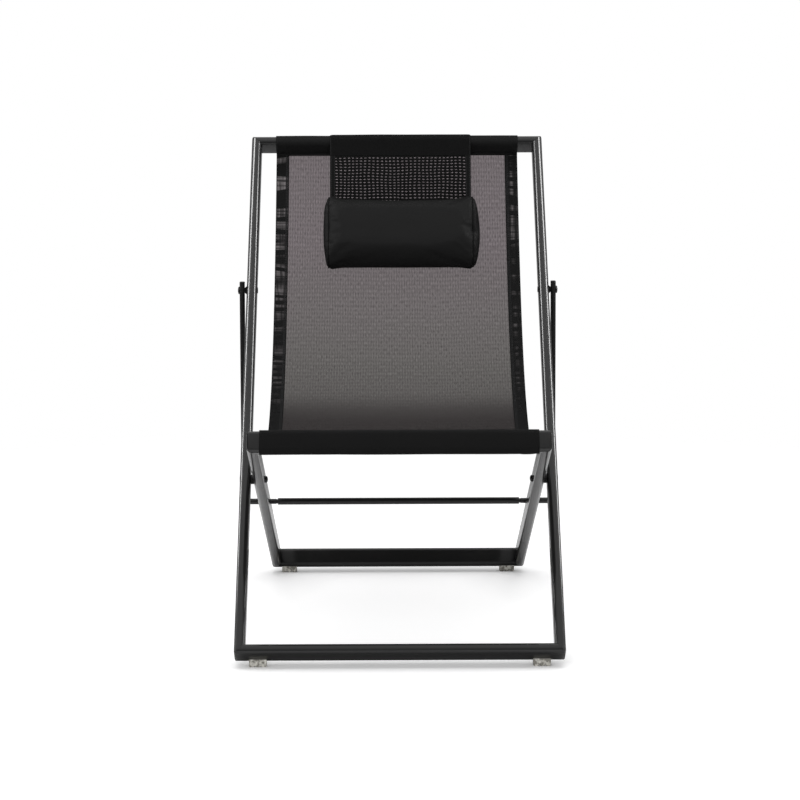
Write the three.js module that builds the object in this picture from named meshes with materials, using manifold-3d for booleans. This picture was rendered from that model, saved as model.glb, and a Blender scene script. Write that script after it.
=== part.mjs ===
// Folding sling deck chair: two crossed tube frames, a prop that lies in toothed racks, a hanging cloth seat
// and a head pillow.
// Millimetres, +Z up, the sitter faces -Y. The origin is under the middle of the chair, on the floor.
import * as THREE from "three";
import { mergeVertices } from "three/addons/utils/BufferGeometryUtils.js";
import Module from "manifold-3d";

const wasm = await Module();
wasm.setup();

// Driving dimensions of the frames
const backAngle = THREE.MathUtils.degToRad(50);
const backLength = 1167;
const pivotUp = 363;
const seatFrameWidth = 546;
const frameSpace = 7;
const seatFrameLength = 928;
const pivotFromRear = 669;

// Tube of both frames: depth is square to the frame's plane, thickness lies in it
const frameTube = { depth: 40, thickness: 20, round: 8.5, wall: 1.5 };
const mitreRound = 7;
const backWidth = seatFrameWidth + 2 * (frameTube.thickness + frameSpace);
const gap = 0.3;
const overrun = 5;

// Main pivots
const pivotBolt = { shaft: 4, head: 7, headHeight: 0.8 };
const pivotNut = { radius: 6.5, height: 5, threadDepth: 3 };
const pivotSpacerRadius = 9;
const pivotBushRadius = 6;
const runningGap = 0.3;

// Prop: two flat-oval arms and a crossbar with a neck over each rack
const propHingeUp = 436.4;
const barBehindPivot = 281;
const barAboveRail = 28;
const armTube = { depth: 20, thickness: 10, round: 4.9, wall: 1.2 };
const armGap = 4.7;
const armTopEnd = 14;
const armLowEnd = 11;
const armCap = { dome: 3, plug: 7 };
const propBolt = { shaft: 4, head: 7.5, headHeight: 3.4, nut: 5.8, nutHeight: 1.2 };
const propSpacer = { wide: 8.5, narrow: 5 };
const bar = { radius: 6.75, neck: 5.2, groove: 4.5, stub: 5.9, neckInside: 21, neckOutside: 18 };
const barGroove = { width: 3, edge: 0.8 };

// Toothed racks on the seat rails
const notches = 4;
const rack = { width: 14, base: 2.55, pitch: 68, tooth: 3.75, crest: 3.2, slope: 17, lead: 22, tail: 14 };

// Feet under the two floor rails
const foot = { height: 10, width: 32, length: 17, upstand: 6, lobes: 3, groove: 2.6, edge: 2 };
const frontFootInset = 42.5;
const rearFootInset = 38;

// Sling and its sleeves
const slingSideSpace = 3;
const slingSlack = 109;
const slingThickness = 1.2;
const hem = { width: 24, thickness: 2.4 };
const sleeveThickness = 1.3;
const seam = { length: 5, thickness: 2.2 };
const topSeamDown = 6;
const topPull = THREE.MathUtils.degToRad(-113);
const frontSeamBack = 5.8;

// Headrest
const headrest = { width: 290, aside: 7, band: 33, rear: 16, thickness: 1.6, mesh: 1.2, binding: 11 };
const pillow = { width: 294, height: 158, front: 36, back: 12, end: 12, down: 182 };

// Shares, powers, counts and sides
const drawnShare = 0.04;
const drawnPower = 8;
const domeShare = 0.6;
const ovalPower = 2.8;
const steepest = 10;
const halvings = 60;
const samePoint = 1e-4;
const sides = [
  [-1, "left"],
  [1, "right"],
];
const cornerSteps = 5;
const armSteps = 4;
const roundSteps = 24;
const slingSteps = 34;
const pillowRings = 20;
const pillowSides = 32;
const domeSteps = 4;

const colours = {
  frame: { color: 0x17171a, roughness: 0.32, metalness: 0.6 },
  bolt: { color: 0x1c1c1e, roughness: 0.4, metalness: 0.7 },
  nylon: { color: 0x101011, roughness: 0.6, metalness: 0 },
  clear: { color: 0xb6b2a8, roughness: 0.45, metalness: 0 },
  sling: { color: 0x3e3c3c, roughness: 0.9, metalness: 0 },
  trim: { color: 0x1b1b1b, roughness: 0.85, metalness: 0 },
  pad: { color: 0x202020, roughness: 0.8, metalness: 0 },
};

// Side view: points are [y, z], with y = 0 at the axis of the rail that stands on the floor in front
const flatHalf = frameTube.thickness / 2 - frameTube.round;
const deepHalf = frameTube.depth / 2 - frameTube.round;

// Height of a tube's axis over its lowest point, when its frame leans by an angle from the floor
function support(angle) {
  return deepHalf * Math.cos(angle) + flatHalf * Math.sin(angle) + frameTube.round;
}

function along([y, z], angle, distance) {
  return [y + distance * Math.cos(angle), z + distance * Math.sin(angle)];
}

const frontRail = [0, foot.height + support(backAngle)];
const pivot = along(frontRail, backAngle, pivotUp);
const topRail = along(frontRail, backAngle, backLength);

// The seat frame leans so that its rear rail stands on its feet and its side rails pass through the pivot
const pivotOverRound = pivot[1] - foot.height - frameTube.round;
const rearReach = pivotFromRear + flatHalf;
const seatAngle =
  Math.asin(pivotOverRound / Math.hypot(rearReach, deepHalf)) - Math.atan2(deepHalf, rearReach);
const rearRail = along(pivot, -seatAngle, pivotFromRear);
const seatFront = along(pivot, Math.PI - seatAngle, seatFrameLength - pivotFromRear);

// The prop hangs from its hinge to where the crossbar lies on the seat rails
const propHinge = along(pivot, backAngle, propHingeUp);
const barAt = along(along(pivot, -seatAngle, barBehindPivot), Math.PI / 2 - seatAngle, barAboveRail);
const propLength = Math.hypot(propHinge[0] - barAt[0], propHinge[1] - barAt[1]);
const propAngle = Math.atan2(propHinge[1] - barAt[1], propHinge[0] - barAt[0]);

const backRailX = (backWidth - frameTube.thickness) / 2;
const seatRailX = (seatFrameWidth - frameTube.thickness) / 2;
const backInnerX = backRailX - frameTube.thickness / 2;
const seatInnerX = seatRailX - frameTube.thickness / 2;
const armInnerX = backWidth / 2 + armGap;
const armOuterX = armInnerX + armTube.thickness;
const slingWidth = 2 * (seatInnerX - slingSideSpace);

// A geometry as a solid that can be joined and cut
function solid(geometry) {
  const bare = new THREE.BufferGeometry().setAttribute("position", geometry.getAttribute("position"));
  if (geometry.index) bare.setIndex(geometry.index);
  const merged = mergeVertices(bare, samePoint);
  const old = merged.index.array;
  const triVerts = [];
  for (let i = 0; i < old.length; i += 3) {
    const [a, b, c] = [old[i], old[i + 1], old[i + 2]];
    if (a !== b && b !== c && c !== a) triVerts.push(a, b, c);
  }
  const vertProperties = merged.getAttribute("position").array;
  return new wasm.Manifold(
    new wasm.Mesh({ numProp: 3, vertProperties, triVerts: new Uint32Array(triVerts) }),
  );
}

function geometryOf(body) {
  const made = body.getMesh();
  const geometry = new THREE.BufferGeometry();
  geometry.setAttribute("position", new THREE.BufferAttribute(made.vertProperties, 3));
  geometry.setIndex(new THREE.BufferAttribute(made.triVerts, 1));
  return geometry;
}

// A named piece from a solid or a geometry, with a material of its own
function piece(name, shape, finish) {
  const body = shape.isBufferGeometry ? solid(shape) : shape;
  const geometry = geometryOf(body).toNonIndexed();
  geometry.computeVertexNormals();
  const mesh = new THREE.Mesh(geometry, new THREE.MeshStandardMaterial(colours[finish]));
  mesh.name = name;
  return mesh;
}

// Outline of a rounded rectangle, x across the thickness and y across the depth, grown by an offset
function roundedOutline(target, tube, offset) {
  const x = tube.thickness / 2 - tube.round;
  const y = tube.depth / 2 - tube.round;
  const r = tube.round + offset;
  target.absarc(x, y, r, 0, Math.PI / 2);
  target.absarc(-x, y, r, Math.PI / 2, Math.PI);
  target.absarc(-x, -y, r, Math.PI, Math.PI * 1.5);
  target.absarc(x, -y, r, Math.PI * 1.5, Math.PI * 2);
  return target;
}

function ring(tube, outer, inner) {
  const shape = roundedOutline(new THREE.Shape(), tube, outer);
  shape.holes.push(roundedOutline(new THREE.Path(), tube, inner));
  return shape;
}

function extruded(shape, depth, curveSegments = cornerSteps) {
  return new THREE.ExtrudeGeometry(shape, { depth, steps: 1, bevelEnabled: false, curveSegments });
}

// A side-view shape, drawn in y and z, made as wide as asked and centred on an x
const sideways = new THREE.Matrix4().makeBasis(
  new THREE.Vector3(0, 1, 0),
  new THREE.Vector3(0, 0, 1),
  new THREE.Vector3(1, 0, 0),
);

function wide(shape, width, x = 0) {
  return extruded(shape, width).translate(0, 0, x - width / 2).applyMatrix4(sideways);
}

function polygon(points) {
  return new THREE.Shape(points.map(([y, z]) => new THREE.Vector2(y, z)));
}

// A flat strip seen from the side, from one point to another
function strip(from, to, thickness) {
  const length = Math.hypot(to[0] - from[0], to[1] - from[1]);
  const ny = (-(to[1] - from[1]) / length) * (thickness / 2);
  const nz = ((to[0] - from[0]) / length) * (thickness / 2);
  return polygon([
    [from[0] + ny, from[1] + nz],
    [from[0] - ny, from[1] - nz],
    [to[0] - ny, to[1] - nz],
    [to[0] + ny, to[1] + nz],
  ]);
}

// A piece turned about the X axis, from a profile of [x, radius]
function turned(profile, side = 1) {
  const points = profile.map(([x, radius]) => new THREE.Vector2(radius, x));
  const geometry = new THREE.LatheGeometry(points, roundSteps).rotateZ(-Math.PI / 2);
  return side > 0 ? geometry : geometry.rotateZ(Math.PI);
}

// A tube wall or disc between two x, hollow where an inner radius is given
function collar(x0, x1, outer, inner, side) {
  return turned([[x0, inner], [x0, outer], [x1, outer], [x1, inner], [x0, inner]], side);
}

function rod(x0, x1, radius, side = 1) {
  return turned([[x0, 0], [x0, radius], [x1, radius], [x1, 0]], side);
}

function dome(x, radius, height, share) {
  const points = [];
  for (let i = 0; i <= domeSteps; i++) {
    const turn = (i / domeSteps) * (Math.PI / 2);
    const low = height * (1 - share);
    points.push([x + low + height * share * Math.sin(turn), radius * Math.cos(turn)]);
  }
  return points;
}

// One tube of a welded loop, along Z, with mitred ends whose long side is towards +X
function mitredTube(length) {
  const geometry = extruded(ring(frameTube, 0, -frameTube.wall), length).translate(0, 0, -length / 2);
  const place = geometry.getAttribute("position");
  for (let i = 0; i < place.count; i++) {
    const end = Math.sign(place.getZ(i));
    place.setZ(i, place.getZ(i) + end * (place.getX(i) - gap * Math.SQRT1_2));
  }
  return geometry;
}

// The four tubes of a frame in its own plane: X across, Z along it from low to high, Y square to it
function weldedLoop(width, low, high) {
  const middle = (low + high) / 2;
  const length = high - low;
  const across = width - frameTube.thickness;
  const outline = { thickness: width, depth: length + frameTube.thickness, round: mitreRound };
  const plate = extruded(roundedOutline(new THREE.Shape(), outline, 0), frameTube.depth * 2);
  plate.rotateX(Math.PI / 2).translate(0, frameTube.depth, middle);
  const envelope = solid(plate);
  const trimmed = (geometry) => envelope.intersect(solid(geometry));
  const side = (turn, x) => trimmed(mitredTube(length).rotateZ(turn).translate(x, 0, middle));
  const cross = (turn, z) => trimmed(mitredTube(across).rotateY(turn).translate(0, 0, z));
  return {
    left: side(Math.PI, -across / 2),
    right: side(0, across / 2),
    high: cross(-Math.PI / 2, high),
    low: cross(Math.PI / 2, low),
  };
}

// Back frame, its local Y pointing back and down and its local Z up the rails, from the pivot
function backFrame() {
  const group = new THREE.Group();
  group.rotation.x = backAngle - Math.PI / 2;
  const loop = weldedLoop(backWidth, -pivotUp, backLength - pivotUp);
  const boreThrough = (radius, z, side) =>
    solid(rod(backInnerX - overrun, backWidth / 2 + overrun, radius, side).translate(0, 0, z));
  for (const [side, name] of sides) {
    loop[name] = loop[name].subtract(boreThrough(pivotBolt.shaft + runningGap, 0, side));
    loop[name] = loop[name].subtract(boreThrough(propBolt.shaft + runningGap, propHingeUp, side));
  }
  group.add(piece("back_side_left", loop.left, "frame"));
  group.add(piece("back_side_right", loop.right, "frame"));
  group.add(piece("back_top_rail", loop.high, "frame"));
  group.add(piece("back_bottom_rail", loop.low, "frame"));
  for (const [side, name] of sides) {
    group.add(...pivotHardware(side, name), ...propHardware(side, name));
  }
  return group;
}

// Bolt from outside through both rails, spacer between them and a domed nut inside
function pivotHardware(side, name) {
  const headAt = backWidth / 2 + gap;
  const nutAt = seatInnerX - gap;
  const shaftEnd = nutAt - pivotNut.threadDepth + gap;
  const head = dome(headAt, pivotBolt.head, pivotBolt.headHeight, domeShare);
  const shaft = [[shaftEnd, 0], [shaftEnd, pivotBolt.shaft], [headAt, pivotBolt.shaft]];
  const bolt = turned([...shaft, [headAt, pivotBolt.head], ...head], side);
  const bore = pivotBolt.shaft + runningGap;
  const crown = dome(-nutAt, pivotNut.radius, pivotNut.height, domeShare);
  const outside = crown.map(([x, radius]) => [-x, radius]).reverse();
  const bottom = nutAt - pivotNut.threadDepth;
  const inside = [[nutAt, pivotNut.radius], [nutAt, bore], [bottom, bore], [bottom, 0]];
  const nut = turned([...outside, ...inside], side);
  const spacer = collar(seatFrameWidth / 2 + gap, backInnerX - gap, pivotSpacerRadius, bore, side);
  return [
    piece("pivot_bolt_" + name, bolt, "bolt"),
    piece("pivot_spacer_" + name, spacer, "nylon"),
    piece("pivot_cap_nut_" + name, nut, "bolt"),
  ];
}

// Bolt from outside through arm and rail, a tapered spacer between them and a nut on the rail's inner side
function propHardware(side, name) {
  const headAt = armOuterX + gap;
  const nutAt = backInnerX - gap;
  const nutEnd = nutAt - propBolt.nutHeight;
  const head = dome(headAt, propBolt.head, propBolt.headHeight, domeShare);
  const shaft = [[nutEnd, 0], [nutEnd, propBolt.shaft], [headAt, propBolt.shaft]];
  const bolt = turned([...shaft, [headAt, propBolt.head], ...head], side);
  const bore = propBolt.shaft + runningGap;
  const x0 = backWidth / 2 + gap;
  const x1 = armInnerX - gap;
  const cone = [[x0, bore], [x0, propSpacer.wide], [x1, propSpacer.narrow + bore - propBolt.shaft]];
  const spacer = turned([...cone, [x1, bore], [x0, bore]], side);
  const made = [
    piece("prop_bolt_" + name, bolt, "bolt"),
    piece("prop_spacer_" + name, spacer, "nylon"),
    piece("prop_nut_" + name, collar(nutEnd, nutAt, propBolt.nut, bore, side), "bolt"),
  ];
  for (const mesh of made) mesh.position.z = propHingeUp;
  return made;
}

// Seat frame, its local Y pointing up off the rails and its local Z towards the front, from the pivot
function seatFrame() {
  const group = new THREE.Group();
  group.rotation.x = Math.PI / 2 - seatAngle;
  const loop = weldedLoop(seatFrameWidth, -pivotFromRear, seatFrameLength - pivotFromRear);
  for (const [side, name] of sides) {
    const bore = rod(seatInnerX - overrun, seatFrameWidth / 2 + overrun, pivotBushRadius + gap, side);
    loop[name] = loop[name].subtract(solid(bore));
    const inner = pivotBolt.shaft + runningGap;
    const bush = collar(seatInnerX, seatFrameWidth / 2, pivotBushRadius, inner, side);
    group.add(piece("pivot_bush_" + name, bush, "nylon"));
    group.add(piece("rack_" + name, toothedRack(side * seatRailX), "clear"));
  }
  group.add(piece("seat_side_left", loop.left, "frame"));
  group.add(piece("seat_side_right", loop.right, "frame"));
  group.add(piece("seat_front_rail", loop.high, "frame"));
  group.add(piece("seat_rear_rail", loop.low, "frame"));
  return group;
}

// A rack saddles its rail: each notch follows the crossbar's neck and ends in a tooth behind it
function toothedRack(x) {
  const railTop = frameTube.depth / 2;
  const top = railTop + gap + rack.base;
  const tip = top + rack.tooth;
  const reach = bar.neck + gap;
  const bite = Math.acos((barAboveRail - tip) / reach);
  const start = Math.acos(Math.min(1, (barAboveRail - top) / reach));
  const shape = new THREE.Shape();
  const last = barBehindPivot + (notches - 1) * rack.pitch;
  shape.moveTo(railTop - frameTube.round / 2, -(barBehindPivot - rack.lead));
  shape.lineTo(top - rack.base / 2, -(barBehindPivot - rack.lead));
  shape.lineTo(top, -(barBehindPivot - rack.lead + rack.base));
  for (let i = 0; i < notches; i++) {
    const s = barBehindPivot + i * rack.pitch;
    shape.absarc(barAboveRail, -s, reach, Math.PI - start, Math.PI + bite);
    const crest = s + reach * Math.sin(bite) + rack.crest;
    shape.lineTo(tip, -crest);
    shape.lineTo(top, -(crest + rack.slope));
  }
  shape.lineTo(top, -(last + rack.slope + rack.tail));
  shape.lineTo(railTop - frameTube.round / 2, -(last + rack.slope + rack.tail));
  const block = solid(wide(shape, rack.width, x));
  const rail = roundedOutline(new THREE.Shape(), frameTube, gap);
  const length = last + rack.slope + rack.tail + overrun;
  return block.subtract(solid(extruded(rail, length).translate(x, 0, -length)));
}

// Prop frame, its local Z up the arms and its origin at the hinge
function propFrame() {
  const group = new THREE.Group();
  group.rotation.x = propAngle - Math.PI / 2;
  const armLength = propLength + armTopEnd + armLowEnd;
  const x = armInnerX + armTube.thickness / 2;
  for (const [side, name] of sides) {
    const tube = extruded(ring(armTube, 0, -armTube.wall), armLength, armSteps);
    tube.translate(side * x, 0, -propLength - armLowEnd);
    const bore = rod(armInnerX - overrun, armOuterX + overrun, propBolt.shaft + runningGap, side);
    group.add(piece("prop_arm_" + name, solid(tube).subtract(solid(bore)), "frame"));
    const top = endCap().translate(side * x, 0, armTopEnd + gap);
    group.add(piece("prop_top_cap_" + name, top, "nylon"));
    const low = endCap().rotateY(Math.PI).translate(side * x, 0, -propLength - armLowEnd - gap);
    group.add(piece("prop_low_cap_" + name, low, "nylon"));
  }
  const crossbar = piece("prop_crossbar", crossbarShape(), "frame");
  crossbar.position.z = -propLength;
  group.add(crossbar);
  return group;
}

// Plug in the end of an arm, with a softly domed head over its wall
function endCap() {
  const head = roundedOutline(new THREE.Shape(), armTube, 0);
  const bevel = armTube.round / 4;
  const lid = new THREE.ExtrudeGeometry(head, {
    depth: armCap.dome - bevel,
    bevelThickness: bevel,
    bevelSize: bevel,
    bevelOffset: -bevel,
    bevelSegments: 2,
    curveSegments: armSteps,
  });
  const below = new THREE.Vector3(armTube.thickness, armTube.depth, bevel);
  const trim = new THREE.BoxGeometry(below.x * 2, below.y * 2, below.z * 2).translate(0, 0, -bevel);
  const inside = roundedOutline(new THREE.Shape(), armTube, -armTube.wall - gap);
  const plug = extruded(inside, armCap.plug + bevel, armSteps);
  plug.translate(0, 0, -armCap.plug);
  return geometryOf(solid(lid).subtract(solid(trim)).add(solid(plug)));
}

// Round bar with a groove and a neck over each seat rail and a stub that meets the arm
function crossbarShape() {
  const neckStart = seatRailX - bar.neckInside;
  const neckEnd = seatRailX + bar.neckOutside;
  const half = [
    [neckStart, bar.radius],
    [neckStart + barGroove.edge, bar.groove],
    [neckStart + barGroove.width, bar.groove],
    [neckStart + barGroove.width + barGroove.edge, bar.neck],
    [neckEnd, bar.neck],
    [neckEnd + barGroove.edge, bar.stub],
    [armInnerX - gap, bar.stub],
    [armInnerX - gap, 0],
  ];
  const mirrored = half.map(([x, radius]) => [-x, radius]).reverse();
  return turned([...mirrored, ...half]);
}

// Feet: a saddle under the rail whose sole is three lobes with flats
function footShape(x, [y, z], angle, low) {
  const sole = new THREE.Shape();
  const pitch = foot.width / foot.lobes;
  const half = foot.width / 2;
  const top = foot.height + foot.upstand;
  sole.moveTo(-half, foot.edge);
  sole.lineTo(-half + foot.edge, 0);
  for (let i = 1; i < foot.lobes; i++) {
    const at = -half + i * pitch;
    sole.lineTo(at - foot.groove, 0);
    sole.absarc(at, 0, foot.groove, Math.PI, 0, true);
  }
  sole.lineTo(half - foot.edge, 0);
  sole.lineTo(half, foot.edge);
  sole.lineTo(half, top - foot.edge);
  sole.lineTo(half - foot.edge, top);
  sole.lineTo(-half + foot.edge, top);
  sole.lineTo(-half, top - foot.edge);
  const block = extruded(sole, foot.length).translate(0, 0, -foot.length / 2);
  block.rotateX(Math.PI / 2).translate(x, low, 0);
  const rail = roundedOutline(new THREE.Shape(), frameTube, gap);
  const cutter = extruded(rail, foot.width * 2).translate(0, 0, -foot.width);
  cutter.rotateZ(angle).applyMatrix4(sideways).translate(x, y, z);
  return solid(block).subtract(solid(cutter));
}

function feet() {
  const made = [];
  const frontLow = frontRail[0] + deepHalf * Math.sin(backAngle) - flatHalf * Math.cos(backAngle);
  const rearLow = rearRail[0] - deepHalf * Math.sin(seatAngle) + flatHalf * Math.cos(seatAngle);
  for (const [side, name] of sides) {
    const front = footShape(side * (backWidth / 2 - frontFootInset), frontRail, backAngle, frontLow);
    const rear = footShape(side * (seatFrameWidth / 2 - rearFootInset), rearRail, -seatAngle, rearLow);
    made.push(piece("foot_front_" + name, front, "clear"), piece("foot_rear_" + name, rear, "clear"));
  }
  return made;
}

// The hanging line of cloth of a given length between two points: its place and its front normal by the
// length measured down from the upper point
function hangingLine(from, to, length) {
  const span = from[0] - to[0];
  const rise = from[1] - to[1];
  const stretch = Math.sqrt(length ** 2 - rise ** 2) / span;
  let low = 0;
  let high = steepest;
  for (let i = 0; i < halvings; i++) {
    const middle = (low + high) / 2;
    if (Math.sinh(middle) / middle < stretch) low = middle;
    else high = middle;
  }
  const a = span / (2 * low);
  const lowest = (from[0] + to[0]) / 2 - a * Math.asinh(rise / (2 * a * Math.sinh(low)));
  const base = from[1] - a * Math.cosh((from[0] - lowest) / a);
  const top = a * Math.sinh((from[0] - lowest) / a);
  return (down, off = 0) => {
    const steep = (top - down) / a;
    const y = lowest + a * Math.asinh(steep);
    const z = base + a * Math.hypot(1, steep);
    const norm = Math.hypot(1, steep);
    return [y - (off * steep) / norm, z + off / norm, Math.atan(steep)];
  };
}

// Seams where the cloth leaves its sleeves: behind and below the top rail, and behind the seat's front rail
const topCorner = along(along(topRail, backAngle, -flatHalf), backAngle - Math.PI / 2, deepHalf);
const topSling = along(topCorner, topPull, frameTube.round + topSeamDown);
const frontSling = along(seatFront, -seatAngle, frameTube.thickness / 2 + frontSeamBack);
const seamSpan = Math.hypot(topSling[0] - frontSling[0], topSling[1] - frontSling[1]);
const slingLength = seamSpan + slingSlack;
const slingLine = hangingLine(topSling, frontSling, slingLength);

// Cloth that follows the hanging line between two distances down it
function hanging(from, to, thickness, width, x) {
  const steps = Math.max(2, Math.round((slingSteps * (to - from)) / slingLength));
  const front = [];
  const back = [];
  for (let i = 0; i <= steps; i++) {
    const down = from + ((to - from) * i) / steps;
    front.push(slingLine(down, thickness / 2).slice(0, 2));
    back.push(slingLine(down, -thickness / 2).slice(0, 2));
  }
  return wide(polygon([...front, ...back.reverse()]), width, x);
}

// A sleeve round a rail, with the stitched tail that holds the cloth
function sleeve(rail, angle, tail, width) {
  const loop = extruded(ring(frameTube, gap + sleeveThickness, gap), width).translate(0, 0, -width / 2);
  loop.rotateZ(angle).applyMatrix4(sideways).translate(0, rail[0], rail[1]);
  return solid(loop).add(solid(wide(tail, width)));
}

function slingPieces() {
  const hemX = (slingWidth - hem.width) / 2;
  const panelWidth = slingWidth - 2 * hem.width - 2 * gap;
  const end = slingLength - gap;
  const topTail = strip(slingLine(0), slingLine(-seam.length), seam.thickness);
  const frontTail = strip(slingLine(slingLength + seam.length), slingLine(slingLength), seam.thickness);
  return [
    piece("sling_panel", hanging(gap, end, slingThickness, panelWidth, 0), "sling"),
    piece("sling_hem_left", hanging(gap, end, hem.thickness, hem.width, -hemX), "trim"),
    piece("sling_hem_right", hanging(gap, end, hem.thickness, hem.width, hemX), "trim"),
    piece("sling_top_sleeve", sleeve(topRail, backAngle, topTail, slingWidth), "trim"),
    piece("sling_front_sleeve", sleeve(seatFront, -seatAngle, frontTail, slingWidth), "trim"),
  ];
}

// Pillow: rings of a flat-backed oval, drawn in at the end seams and bulging past them
function pillowShape() {
  const half = pillow.width / 2;
  const ends = [];
  for (let i = 0; i <= pillowRings; i++) {
    const t = -1 + (2 * i) / pillowRings;
    const x = (half + pillow.end) * Math.sin((t * Math.PI) / 2);
    const past = Math.max(0, Math.abs(x) - half) / pillow.end;
    const inside = Math.min(1, Math.abs(x) / half);
    const crown = 1 - drawnShare * inside ** drawnPower;
    const size = past > 0 ? (1 - drawnShare) * Math.sqrt(Math.max(0, 1 - past ** 2)) : crown;
    ends.push([x, size]);
  }
  const vertices = [];
  for (const [x, size] of ends) {
    for (let j = 0; j < pillowSides; j++) {
      const turn = (j / pillowSides) * Math.PI * 2;
      const c = Math.cos(turn);
      const s = Math.sin(turn);
      const up = Math.sign(s) * Math.abs(s) ** (2 / ovalPower) * (pillow.height / 2);
      const out = Math.sign(c) * Math.abs(c) ** (2 / ovalPower) * (c > 0 ? pillow.front : pillow.back);
      vertices.push(x, -out * size, up * size);
    }
  }
  const faces = [];
  for (let i = 0; i < pillowRings; i++) {
    for (let j = 0; j < pillowSides; j++) {
      const next = (j + 1) % pillowSides;
      const a = i * pillowSides + j;
      const b = i * pillowSides + next;
      const c = a + pillowSides;
      const d = b + pillowSides;
      faces.push(a, c, b, b, c, d);
    }
  }
  const geometry = new THREE.BufferGeometry();
  geometry.setAttribute("position", new THREE.Float32BufferAttribute(vertices, 3));
  geometry.setIndex(faces);
  return geometry;
}
// Direction from a circle's centre to where a line from a point touches its front side
function touchAngle(centre, radius, point) {
  const dy = point[0] - centre[0];
  const dz = point[1] - centre[1];
  return Math.atan2(dz, dy) - Math.acos(radius / Math.hypot(dy, dz));
}

// Strap that hangs down behind, runs over the top rail and its sleeve and drops in front towards a point
function strapShape(inner, target) {
  const outer = inner + headrest.thickness;
  const up = along(topRail, backAngle, flatHalf);
  const rear = along(up, backAngle - Math.PI / 2, deepHalf);
  const front = along(up, backAngle + Math.PI / 2, deepHalf);
  const low = along(front, backAngle, -2 * flatHalf);
  const leave = touchAngle(low, (inner + outer) / 2, target);
  const square = backAngle + Math.PI / 2;
  const shape = new THREE.Shape();
  shape.moveTo(rear[0] + outer, rear[1] - headrest.rear);
  shape.absarc(...rear, outer, 0, backAngle);
  shape.absarc(...front, outer, backAngle, square);
  shape.absarc(...low, outer, square, leave + 2 * Math.PI);
  shape.lineTo(...along(along(low, leave, outer), leave + Math.PI / 2, headrest.band));
  shape.lineTo(...along(along(low, leave, inner), leave + Math.PI / 2, headrest.band));
  shape.absarc(...low, inner, leave + 2 * Math.PI, square, true);
  shape.absarc(...front, inner, square, backAngle, true);
  shape.absarc(...rear, inner, backAngle, 0, true);
  shape.lineTo(rear[0] + inner, rear[1] - headrest.rear);
  const end = along(along(low, leave, (inner + outer) / 2), leave + Math.PI / 2, headrest.band + gap);
  return { shape, end };
}

function headrestPieces() {
  const [y, z, slope] = slingLine(pillow.down, slingThickness / 2 + gap + pillow.back);
  const pad = piece("pillow", pillowShape(), "pad");
  pad.rotation.x = slope - Math.PI / 2;
  pad.position.set(headrest.aside, y, z);
  const seamPoint = along([y, z], slope, pillow.height / 2 + gap);
  const strap = strapShape(frameTube.round + gap + sleeveThickness + gap, seamPoint);
  const mesh = strip(strap.end, seamPoint, headrest.mesh);
  const edge = strip(strap.end, seamPoint, headrest.thickness);
  const edgeX = (headrest.width - headrest.binding) / 2;
  const meshWidth = headrest.width - 2 * headrest.binding - 2 * gap;
  return [
    pad,
    piece("headrest_strap", wide(strap.shape, headrest.width, headrest.aside), "trim"),
    piece("headrest_mesh", wide(mesh, meshWidth, headrest.aside), "sling"),
    piece("headrest_binding_left", wide(edge, headrest.binding, headrest.aside - edgeX), "trim"),
    piece("headrest_binding_right", wide(edge, headrest.binding, headrest.aside + edgeX), "trim"),
  ];
}

const chair = new THREE.Group();
const back = backFrame();
const seat = seatFrame();
const prop = propFrame();
back.position.set(0, ...pivot);
seat.position.set(0, ...pivot);
prop.position.set(0, ...propHinge);
chair.add(back, seat, prop, ...feet(), ...slingPieces(), ...headrestPieces());

// The origin goes under the middle of the chair's box
const box = new THREE.Box3().setFromObject(chair, true);
chair.position.y = -(box.min.y + box.max.y) / 2;

const root = new THREE.Group();
root.add(chair);
root.updateMatrixWorld(true);

export default root;
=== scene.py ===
import math

import bpy
import numpy as np
from mathutils import Matrix, Vector, noise
from mathutils.bvhtree import BVHTree

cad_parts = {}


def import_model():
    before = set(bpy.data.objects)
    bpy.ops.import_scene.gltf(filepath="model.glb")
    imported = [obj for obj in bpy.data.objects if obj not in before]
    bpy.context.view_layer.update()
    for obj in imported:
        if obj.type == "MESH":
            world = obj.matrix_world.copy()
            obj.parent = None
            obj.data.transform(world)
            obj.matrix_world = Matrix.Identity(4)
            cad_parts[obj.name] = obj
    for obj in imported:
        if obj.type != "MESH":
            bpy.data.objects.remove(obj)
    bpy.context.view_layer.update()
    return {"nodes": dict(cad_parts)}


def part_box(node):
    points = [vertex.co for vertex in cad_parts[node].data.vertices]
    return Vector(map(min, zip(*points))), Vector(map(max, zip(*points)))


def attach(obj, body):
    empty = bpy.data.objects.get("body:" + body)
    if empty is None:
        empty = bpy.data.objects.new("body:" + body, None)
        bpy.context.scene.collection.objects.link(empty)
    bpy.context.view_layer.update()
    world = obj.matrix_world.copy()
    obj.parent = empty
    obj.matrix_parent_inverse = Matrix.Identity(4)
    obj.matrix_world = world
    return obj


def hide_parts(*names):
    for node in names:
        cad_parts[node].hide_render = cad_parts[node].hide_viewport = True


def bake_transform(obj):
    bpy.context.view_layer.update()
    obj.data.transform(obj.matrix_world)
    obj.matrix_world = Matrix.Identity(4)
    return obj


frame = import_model()

# Camera of the photograph: place in metres, turns in degrees
CAMERA_PLACE = (-0.0166, -4.5426, 1.0424)
CAMERA_DOWN = 7.670
CAMERA_TURN = 0.252
CAMERA_ROLL = -0.181
LENS = 105
SENSOR = 36

# Tubes that carry the cloth: their lean in side view and their section
TOP_LEAN = math.radians(50)
FRONT_LEAN = math.radians(-24.32)
TUBE_DEPTH = 0.040
TUBE_THICK = 0.020
TUBE_ROUND = 0.0085
RING_STEPS = 8
FLAT_HALF = TUBE_THICK / 2 - TUBE_ROUND
DEEP_HALF = TUBE_DEPTH / 2 - TUBE_ROUND

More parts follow.
